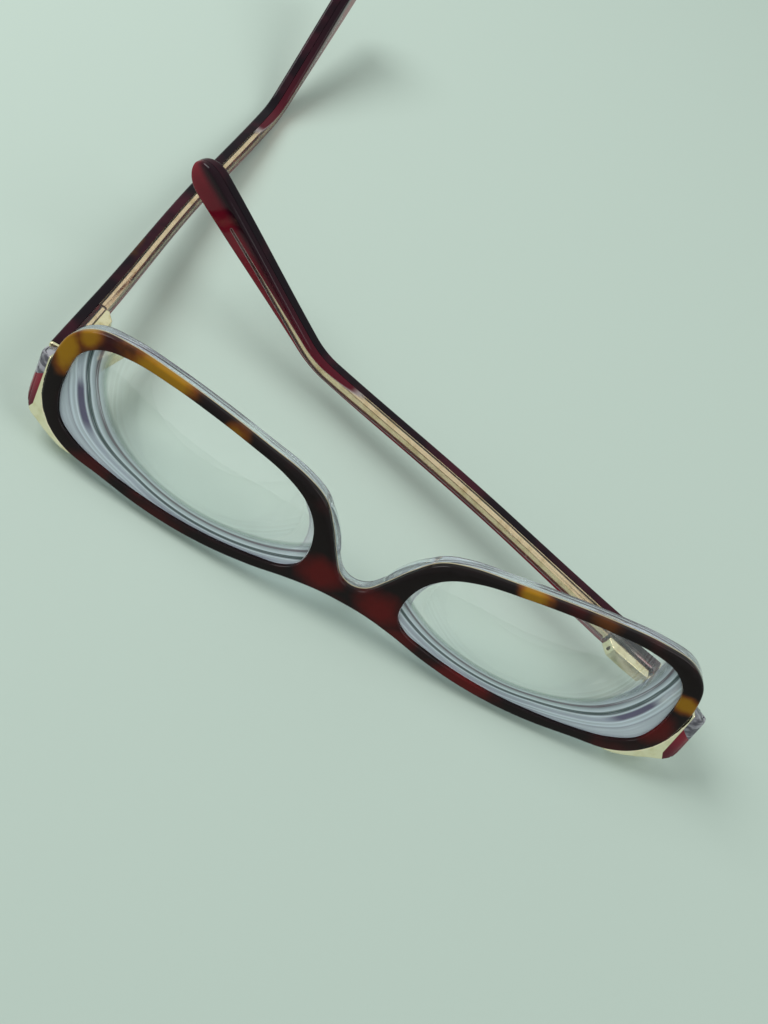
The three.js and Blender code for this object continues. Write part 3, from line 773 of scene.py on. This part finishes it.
def enamelled(name, onGold):
    finish, look = Finish(name), enamelFace
    where = finish.spot(turned=True)
    split = finish.split(where)
    wider = finish.ranged(split["X"], -look["sideBlend"], look["sideBlend"], (0.0, look["rightWider"]))
    out, up = finish.minus(finish.math("ABSOLUTE", split["X"]), wider), split["Z"]
    edge, soft = look["bandEdge"], look["soft"]
    lean = finish.times(finish.minus(out, edge), look["greySlope"])
    greyShare = finish.ranged(finish.minus(finish.plus(up, lean), look["greyFrom"]), 0.0, soft)
    cloudy = finish.plus(up, finish.times(finish.noise(where, *look["redCloud"]), look["redCloudHeight"]))
    red = finish.mix(finish.ranged(cloudy, *look["redRange"]), *look["red"])
    streaks = finish.noise(finish.stretched(where, look["greyStretch"]), *look["greyStreaks"])
    grey = finish.mix(finish.ranged(streaks, *look["greyRange"]), *look["grey"])
    fill = finish.mix(greyShare, red, grey)
    finish.set({"Specular IOR Level": look["specular"]})
    if onGold:
        lower = finish.times(finish.minus(look["foot"], up), look["footSlope"])
        beyond = finish.minus(finish.minus(out, edge), finish.math("MAXIMUM", lower, 0.0))
        face = finish.ranged(beyond, 0.0, soft)
        fill = finish.mix(face, dulled(finish, where, *look["gold"]), fill)
        finish.set({"Metallic": finish.minus(1.0, face)})
    finish.set({"Base Color": fill})
    fineWear(finish, where, look["gloss"], look["scratch"])
    return finish.material


frontHavana, templeDark, clearPlastic, crimson = havana(), templeHavana(), clearAcetate(), crimsonAcetate()
glass, ground = lensGlass(), groundEdge()
gold = metal("paleGold", rgb(0.94, 0.83, 0.55), rgb(0.74, 0.61, 0.34), (0.14, 0.3))
steel = metal("screwSteel", rgb(0.66, 0.64, 0.60), rgb(0.42, 0.40, 0.37), (0.2, 0.42))
redEnamel, greyEnamel = enamelled("redEnamel", False), enamelled("pearlEnamel", False)
print("finishes ready")


# The front
def bowed(loop, depth):
    return np.stack([loop[:, 0], depth + bowAt(loop[:, 0]), loop[:, 1]], axis=1)


def laminate(outerLevels, openingLevels):
    leftHalf = [(-x, z) for x, z in reversed(halfOutline)]
    outer = smoothLoop([notchTop, *halfOutline, browMiddle, *leftHalf], frontLayers["outlinePoints"])
    right = smoothLoop(openingOutline, frontLayers["openingPoints"])
    openings = [right, (right * (-1, 1))[::-1]]
    shell = Shell()
    shell.walls([bowed(offsetLoop(outer, grow), depth) for depth, grow in outerLevels])
    for opening in openings:
        shell.walls([bowed(offsetLoop(opening, grow), depth) for depth, grow in openingLevels])
    for end in (0, -1):
        depth, grow = outerLevels[end]
        holes = [offsetLoop(opening, openingLevels[end][1]) for opening in openings]
        spots, faces = plate(offsetLoop(outer, grow), holes, frontLayers["grid"])
        shell.add(bowed(spots, depth), faces)
    return shell


def cornerArc(radius, k, steps):  # step k of a quarter round: how far in along each of its two sides
    turn = pi / 2 * k / steps
    return radius * (1 - sin(turn)), radius * (1 - cos(turn))


def quarter(radius, steps=5):
    return [(depth, -back) for depth, back in (cornerArc(radius, k, steps) for k in range(steps, -1, -1))]


def buildFront():
    rounded, small = frontLayers["outerRound"], frontLayers["openingRound"]
    deep, flank, glue = frontLayers["tortoiseDepth"], frontLayers["grooveFlank"], frontLayers["glueLine"]
    groove = frontLayers["grooveDepth"] - frontLayers["grooveRelief"]
    outer = quarter(rounded) + [(deep, 0)]
    opening = [(depth, -grow) for depth, grow in quarter(small)] + [(deep - flank, 0), (deep, groove)]
    tortoise = laminate(outer, opening)
    node, slot = "front_tortoise_layer", "tortoise"
    makePiece("tortoiseFront", tortoise, frontPlace, [frontHavana], "front", node)

    start = deep + glue
    outer = [(start, 0)] + [(rimDepth - depth, grow) for depth, grow in reversed(quarter(rounded))]
    opening = [(start, groove), (start + flank, 0)]
    opening += [(rimDepth - depth, -grow) for depth, grow in reversed(quarter(small))]
    clear = laminate(outer, opening)
    node, slot = "front_clear_layer", "clear_plastic"
    joinPads(makePiece("clearFront", clear, frontPlace, [clearPlastic], "front", node))


def joinPads(rim):
    x, y, z = frontLayers["padPlace"]
    around, upwards = frontLayers["padSegments"]
    shape = Matrix.Diagonal((*frontLayers["padRadii"], 1))
    toScene = shrink @ frontPlace
    facing = (toScene.to_3x3() @ Vector((0, 1, 0))).normalized()
    base = frontLayers["tortoiseDepth"] + frontLayers["glueLine"] + frontLayers["grooveFlank"]
    spot = toScene @ Vector((0, base, 0))
    for side in (-1, 1):
        mesh = bmesh.new()
        bmesh.ops.create_uvsphere(mesh, u_segments=around, v_segments=upwards, radius=1)
        splay = Matrix.Rotation(radians(-side * frontLayers["padSplay"]), 4, "Z")
        lean = Matrix.Rotation(radians(side * frontLayers["padLean"]), 4, "Y")
        mesh.transform(toScene @ Matrix.Translation((x * side, y, z)) @ lean @ splay @ shape)
        everything = mesh.verts[:] + mesh.edges[:] + mesh.faces[:]
        bmesh.ops.bisect_plane(mesh, geom=everything, plane_co=spot, plane_no=facing, clear_inner=True)
        bmesh.ops.holes_fill(mesh, edges=[e for e in mesh.edges if e.is_boundary])
        bmesh.ops.recalc_face_normals(mesh, faces=mesh.faces)
        combine(rim, linked("padShape", meshData("padShape", mesh)), "UNION")
    shadeSmooth(rim.data)
    rim.data.set_sharp_from_angle(angle=radians(sharpAngle))


lens = {
    "clearance": 0.12,
    "centre": (35.0, 8.0),
    "thickness": 1.1,
    "backRadius": 56.0,
    "backLimit": 0.9,  # the share of that radius past which the back runs level
    "frontBulge": 0.5,
    "setback": 0.75,
    "wallTaper": 1.3,  # the ground edge leans in this far towards the back
    "backChamfer": 0.35,
    "cheekRange": (0.1, 0.5),  # over this the taper fades out towards the cheek
    "cheekChamfer": 0.6,  # and over the same the chamfer loses this share
    # the oval inside which it looks clear: middle, half width to the temple and to the nose, half height
    "clearOval": ((31.0, 17.0), 24.5, 27.0, 17.2),
    # how far in the painted reflection rings reach on each lens
    "paintedRingReach": {"left": 0.34, "right": 0.29},
    "clearMark": (1.5, 0.5),  # beyond the rings, half way up
    "foot": 4.5,
    "height": 24,
    "rings": 26,
    "points": 220,
}


def ovalLevel(points):
    (x, z), toTemple, toNose, high = lens["clearOval"]
    across = points[:, 0] - x
    return np.hypot(across / np.where(across > 0, toTemple, toNose), (points[:, 1] - z) / high) - 1


def lensFront(loop, share):
    return lens["setback"] - lens["frontBulge"] * (1 - share * share)


def lensBack(loop, share=1.0):
    radius = lens["backRadius"]
    out = np.minimum(np.linalg.norm(loop - np.array(lens["centre"]), axis=1), radius * lens["backLimit"])
    middle = lens["setback"] - lens["frontBulge"] + lens["thickness"]
    return middle + radius - np.sqrt(radius ** 2 - out ** 2)


def lensSurface(shell, rim, depthAt, marksAt):  # rings round the centre, closed there by a fan
    centre = np.array(lens["centre"])
    n, start = len(rim), len(shell.points)
    shares = [k / lens["rings"] for k in range(1, lens["rings"] + 1)]
    loops = [centre + (rim - centre) * share for share in shares]
    rings = [bowed(loop, depthAt(loop, share)) for loop, share in zip(loops, shares)]
    shell.skin(rings, [marksAt(loop) for loop in loops])
    tip = bowed(centre[None, :], depthAt(centre[None, :], 0.0))
    fan = [(i, (i + 1) % n, n) for i in range(n)]
    points, marks = shell.points[start:start + n], shell.marks[start:start + n]
    shell.add(np.concatenate([points, tip]), fan, [*marks, lens["clearMark"]])
    return bowed(rim, depthAt(rim, 1.0))


def buildLens(side):
    opening = smoothLoop(openingOutline, lens["points"])
    middle = frontLayers["tortoiseDepth"] + frontLayers["glueLine"] / 2
    groove, flank, clearance = frontLayers["grooveDepth"], frontLayers["grooveFlank"], lens["clearance"]
    edge = offsetLoop(opening, -clearance)
    ridge = offsetLoop(opening, groove - 2 * clearance)
    away = opening - np.array(lens["centre"])
    upwards = away[:, 1] / np.linalg.norm(away, axis=1)
    cheek = np.array([smoothstep(up, *lens["cheekRange"]) for up in upwards])
    taper = lens["wallTaper"] * (1 - cheek)
    chamfer = lens["backChamfer"] * (1 - lens["cheekChamfer"] * cheek)
    wallEnd = offsetLoop(opening, -clearance - taper)
    backEdge = offsetLoop(opening, -clearance - taper - chamfer)

    def ringMarks(loop):  # place in the painted reflection rings and share of the opening's height
        wide = lens["paintedRingReach"][side]
        reach = np.maximum(wide, (wide + ovalLevel(edge)) / 2)
        inward = 1 - ovalLevel(loop) / reach
        height = (loop[:, 1] + lens["foot"]) / lens["height"]
        return [(float(a), float(b)) for a, b in zip(inward, height)]

    shell = Shell()
    frontRim = lensSurface(shell, edge, lensFront, ringMarks)
    lensSurface(shell, backEdge, lensBack, lambda loop: lens["clearMark"])
    wall = [bowed(edge, middle - flank), bowed(ridge, middle), bowed(edge, middle + flank)]
    shell.walls([frontRim, wall[0]], ringMarks(edge))
    rearDepth = lensBack(backEdge)
    slope = bowed(wallEnd, rearDepth - chamfer)
    shell.walls([*wall, slope], ringMarks(edge), slot=1)
    shell.walls([slope, bowed(backEdge, rearDepth)], lens["clearMark"], slot=1)
    name, node = "lens" + side.capitalize(), "lens_" + side
    makePiece(name, shell, mirrored(side), [glass, ground], "front", node, lensSharpAngle)


# The temples
def pathAt(s):
    angle = min(max(0.0, s - temple["straight"]) / temple["bendRadius"], radians(temple["bend"]))
    rest = max(0.0, s - temple["straight"] - arcLength)
    y = min(s, temple["straight"]) + temple["bendRadius"] * sin(angle) + rest * cos(angle)
    z = temple["bendRadius"] * (1 - cos(angle)) + rest * sin(angle)
    return y, z, angle


def endShare(s):
    t = max(0.0, (s - templeLength + temple["tipRound"]) / temple["tipRound"])
    return sqrt(max(0.0, 1 - t * t))


def heightAt(s):
    first, middle, last = temple["heights"]
    height = first + (middle - first) * smoothstep(s, 0, temple["straight"] / 2)
    height += (last - middle) * smoothstep(s, temple["straight"], templeLength)
    return height * max(temple["tipEdge"], endShare(s))


def templeRing(section, s):
    y, z, angle = pathAt(s)
    t = min(1.0, max(0.0, (s - wire["start"]) / (temple["straight"] - wire["start"])))
    out = temple["bow"] * sin(pi * t) ** 2
    return np.array([(w + out, y - up * sin(angle), z + up * cos(angle)) for w, up in section])


def stations(start, end):
    bendStart, bendEnd = temple["straight"], temple["straight"] + arcLength
    tipRound, tipSteps = temple["tipRound"], temple["tipSteps"]
    marks = list(np.arange(start, min(end, bendStart), temple["step"]))
    marks += list(np.linspace(bendStart, bendEnd, temple["bendSteps"]))
    marks += list(np.arange(bendEnd + 1, templeLength - tipRound, temple["step"]))
    marks += [templeLength - cornerArc(tipRound, k, tipSteps)[0] for k in range(tipSteps + 1)]
    afterStart, beforeEnd = temple["endGaps"]
    kept = sorted(m for m in marks if start + afterStart < m < end - beforeEnd)
    return [start, *kept, end]


def halfSection(joint, face, s):  # one layer's outline at s, from the joint to the rounded face
    h, way, steps = heightAt(s) / 2, 1 if face > joint else -1, temple["faceSteps"]
    reach = joint + (face - joint) * (temple["tipThin"] + (1 - temple["tipThin"]) * endShare(s))
    ofHeight, ofDepth = temple["roundLimits"]
    r = min(temple["edgeRound"], h * ofHeight, abs(reach - joint) * ofDepth)
    arc = [cornerArc(r, k, steps) for k in range(steps + 1)]
    corner = [(reach - way * back, h - down) for back, down in arc]
    lower = [(w, -up) for w, up in corner]
    flat = [(reach, (h - r) * (k / steps - 1)) for k in range(1, 2 * steps)]
    return [(joint, -h), *lower, *flat, *reversed(corner), (joint, h)]


def templeShell(section, start, end):
    shell = Shell()
    marks = stations(start, end)
    rings = [templeRing(section(s), s) for s in marks]
    upright = [[(s, up) for _, up in section(s)] for s in marks]
    shell.skin(rings, upright)
    whole = [tuple(range(len(rings[0])))]
    for which in (0, -1):
        shell.add(rings[which], whole, upright[which])
    return shell


def layerShell(joint, face):
    return templeShell(lambda s: halfSection(joint, face, s), temple["start"], templeLength)


def wireSection(s):
    narrowed = smoothstep(s, wireTaper, wireEnd)
    h = (wire["height"] + (wire["tipHeight"] - wire["height"]) * narrowed) / 2
    h *= max(wire["pointShare"], min(1.0, (wireEnd - s) / wire["point"]))
    r, low, high = wire["round"], wire["inner"], wire["outer"]
    lower = [(low, -h + r), (low + r, -h), (high - r, -h), (high, -h + r)]
    return [*lower, (high, h - r), (high - r, h), (low + r, h), (low, h - r)]


def buildTemple(side):
    place, body, name = templePlace(side), "temple_" + side, side.capitalize()
    outer = layerShell(outerJoint, outerFace)
    node = "temple_outer_layer_" + side
    makePiece("templeOuter" + name, outer, place, [templeDark], body, node)
    core = templeShell(wireSection, wire["start"], wireEnd)
    makePiece("coreWire" + name, core, place, [gold], body, "core_wire_" + side)
    inner = layerShell(innerJoint, temple["inner"])
    node = "temple_inner_layer_" + side
    layer = makePiece("templeInner" + name, inner, place, [crimson], body, node)
    cutCasePocket(layer, place)


hingeCase = {"start": 3.6, "length": 10.6, "height": 3.0, "outer": 3.2, "gap": 0.12, "cutPast": 3}


def cutCasePocket(layer, place):
    gap, up = hingeCase["gap"], hingeCase["height"] / 2
    start, end = hingeCase["start"], hingeCase["start"] + hingeCase["length"]
    low = Vector((temple["inner"] - hingeCase["cutPast"], start - gap, -up - gap))
    high = Vector((hingeCase["outer"] + gap, end + gap, up + gap))
    mesh = bmesh.new()
    bmesh.ops.create_cube(mesh, size=1)
    size = Matrix.Diagonal((*(high - low), 1))
    mesh.transform(shrink @ place @ Matrix.Translation((low + high) / 2) @ size)
    bmesh.ops.recalc_face_normals(mesh, faces=mesh.faces)
    combine(layer, linked("pocketShape", meshData("pocketShape", mesh)), "DIFFERENCE")
    shadeSmooth(layer.data)
    layer.data.set_sharp_from_angle(angle=radians(sharpAngle))


# Metalwork: the CAD solids' forms with their edges polished soft
# Each kind: what it moves with, the remesh size, rounds of smoothing, name and slot
metalwork = {
    "end_piece": ("front", 0.16, 3, "endPiece", "gold"),
    "red_inlay": ("front", 0.09, 2, "redInlay", "red_enamel"),
    "grey_inlay": ("front", 0.09, 2, "greyInlay", "grey_enamel"),
    "hinge_case": ("temple", 0.1, 2, "hingeCase", "gold"),
    "temple_cap": ("temple", 0.07, 1, "templeCap", "gold"),
    "hinge_slider": ("slider", 0.08, 2, "hingeSlider", "gold"),
    "hinge_screw": ("front", 0.06, 1, "hingeScrew", "steel"),
}
finishOf = {
    "end_piece": enamelled("enamelledGold", True),
    "gold": gold,
    "red_enamel": redEnamel,
    "grey_enamel": greyEnamel,
    "steel": steel,
}
mergeGap, smoothFactor, keptShare = 1e-6, 0.5, 0.5

# The right end piece stands out further than the left one; each range is where that fades in or out
swelling = {"by": 1.2, "out": (65.4, 67.6), "brow": (-3.0, 0.5), "cheek": (9.0, 13.0), "back": (7.5, 9.0)}


def swell(mesh):
    toFront = frontPlace.inverted()
    for vertex in mesh.vertices:
        spot = toFront @ vertex.co
        share = smoothstep(spot.x, *swelling["out"]) * smoothstep(spot.z, *swelling["brow"])
        share *= 1 - smoothstep(spot.z, *swelling["cheek"])
        spot.x += swelling["by"] * share * (1 - smoothstep(spot.y, *swelling["back"]))
        vertex.co = frontPlace @ spot


def softened(side, kind):
    bodyKind, voxel, rounds, label, slot = metalwork[kind]
    name, node = label + side.capitalize(), kind + "_" + side
    mesh = bmesh.new()
    mesh.from_mesh(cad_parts[node].data)
    bmesh.ops.remove_doubles(mesh, verts=mesh.verts, dist=mergeGap)
    bmesh.ops.recalc_face_normals(mesh, faces=mesh.faces)
    bmesh.ops.scale(mesh, vec=(toMillimetres, toMillimetres, toMillimetres), verts=mesh.verts)
    piece = linked(name, meshData(name, mesh))
    remesh = piece.modifiers.new("soft", "REMESH")
    remesh.mode, remesh.voxel_size, remesh.use_smooth_shade = "VOXEL", voxel, True
    smooth = piece.modifiers.new("polish", "SMOOTH")
    smooth.factor, smooth.iterations = smoothFactor, rounds
    thin = piece.modifiers.new("thin", "DECIMATE")
    thin.ratio = keptShare
    polished = applied(piece)
    if bodyKind == "front" and side == "right" and kind != "hinge_screw":
        swell(polished)
    polished.transform(shrink)
    piece.data = polished
    polished.materials.clear()
    polished.materials.append(finishOf.get(kind, finishOf[slot]))
    shadeSmooth(polished)
    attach(piece, "front" if bodyKind == "front" else bodyKind + "_" + side)
    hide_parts(node)


buildFront()
print("front built")
for side in sides:
    buildLens(side)
    buildTemple(side)
print("lenses and temples built")
for side in sides:
    for kind in metalwork:
        softened(side, kind)
    for kept in ("upper_pin", "lower_pin", "hinge_spring"):
        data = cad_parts[kept + "_" + side].data
        data.materials.clear()
        data.materials.append(steel)
print("metalwork softened")


# Table, light and camera
studio = {
    "floor": rgb(0.53, 0.63, 0.565),
    "floorSize": 3,
    "floorDrop": 0.0002,  # keeps the table just clear of what rests on it
    "floorRough": 0.75,
    "floorSpecular": 0.2,
    "world": rgb(0.62, 0.69, 0.66),
    "ambient": 0.55,
    # each lamp: place, size in metres, watts
    "lamps": [((-0.5, 0.08, 0.5), 0.42, 3.1), ((0.5, 0.0, 0.55), 0.5, 1.6)],
}


def buildTable():
    mesh = bmesh.new()
    bmesh.ops.create_grid(mesh, x_segments=2, y_segments=2, size=studio["floorSize"])
    bmesh.ops.translate(mesh, verts=mesh.verts, vec=(0, 0, -studio["floorDrop"]))
    floor = linked("tableTop", meshData("tableTop", mesh))
    finish = Finish("paleTable")
    finish.set({"Base Color": studio["floor"], "Roughness": studio["floorRough"]})
    finish.set({"Specular IOR Level": studio["floorSpecular"]})
    floor.data.materials.append(finish.material)


def buildWorld():  # dimmer as a light than as what is seen, mirrored or seen through
    world = bpy.data.worlds.new("studioWorld")
    bpy.context.scene.world = world
    world.use_nodes = True
    tree = world.node_tree
    background = tree.nodes["Background"]
    background.inputs["Color"].default_value = studio["world"]
    path = tree.nodes.new("ShaderNodeLightPath")
    seen = path.outputs["Is Camera Ray"]
    for name in ("Is Glossy Ray", "Is Transmission Ray"):
        either = tree.nodes.new("ShaderNodeMath")
        either.operation = "MAXIMUM"
        tree.links.new(seen, either.inputs[0])
        tree.links.new(path.outputs[name], either.inputs[1])
        seen = either.outputs[0]
    level = tree.nodes.new("ShaderNodeMapRange")
    level.inputs["To Min"].default_value = studio["ambient"]
    level.inputs["To Max"].default_value = 1.0
    tree.links.new(seen, level.inputs["Value"])
    tree.links.new(level.outputs["Result"], background.inputs["Strength"])


def buildLamps():
    for index, (spot, size, watts) in enumerate(studio["lamps"]):
        lamp = bpy.data.lights.new("softLamp%d" % index, "AREA")
        lamp.shape, lamp.size, lamp.energy = "DISK", size, watts
        holder = linked(lamp.name, lamp)
        holder.location = spot
        holder.rotation_euler = (-Vector(spot)).to_track_quat("-Z", "Y").to_euler()


view = {
    "spot": (-11.30830519, -164.1807593, 180.63778414),
    "right": (0.87138778, 0.38661947, 0.30200783),
    "down": (0.48772435, -0.7491858, -0.448158),
    "lens": 37.66,
    "sensor": 36.0,
    "nearest": 0.005,
}


def placeCamera():
    camera = bpy.data.cameras.new("photoCamera")
    camera.lens, camera.sensor_width, camera.clip_start = view["lens"], view["sensor"], view["nearest"]
    holder = linked("photoCamera", camera)
    right, down = Vector(view["right"]).normalized(), Vector(view["down"]).normalized()
    forward = right.cross(down)
    turn = Matrix((right, -down, -forward)).transposed().to_4x4()
    holder.matrix_world = Matrix.Translation(Vector(view["spot"]) / toMillimetres) @ turn
    bpy.context.scene.camera = holder


buildTable()
buildWorld()
buildLamps()
placeCamera()
bpy.context.scene.view_settings.view_transform = "Standard"
print("studio and camera ready")
